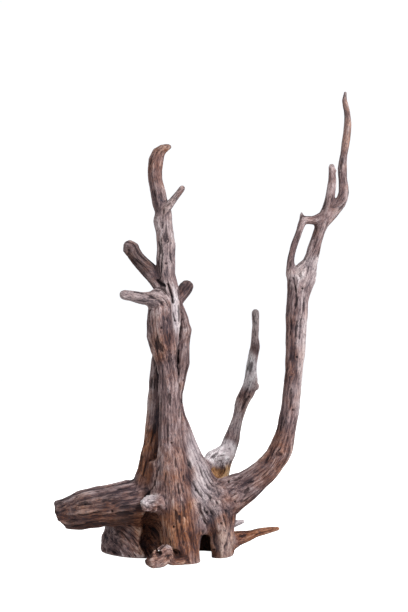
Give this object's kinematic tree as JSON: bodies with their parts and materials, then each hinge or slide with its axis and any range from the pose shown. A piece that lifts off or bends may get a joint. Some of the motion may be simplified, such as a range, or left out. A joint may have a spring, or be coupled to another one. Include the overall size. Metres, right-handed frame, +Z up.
{
  "type": "driftwood",
  "caption": "Weathered driftwood root stump with a bent trunk, a long upswept forked branch and a thin rear branch, standing on its root stubs as a natural ornament.",
  "frame": {"origin": "under the middle of the bounding box, at the level the feet stand on", "axes": "+Z up along the trunk; +X from the trunk towards the long branch; +Y from the front to the back, so the front faces -Y"},
  "size_m": [0.5988, 0.2928, 0.9404],
  "materials": {
    "weathered_wood": "bare, weathered, matte"
  },
  "bodies": {
    "root": {"driftwood": "weathered_wood"}
  },
  "joints": []
}
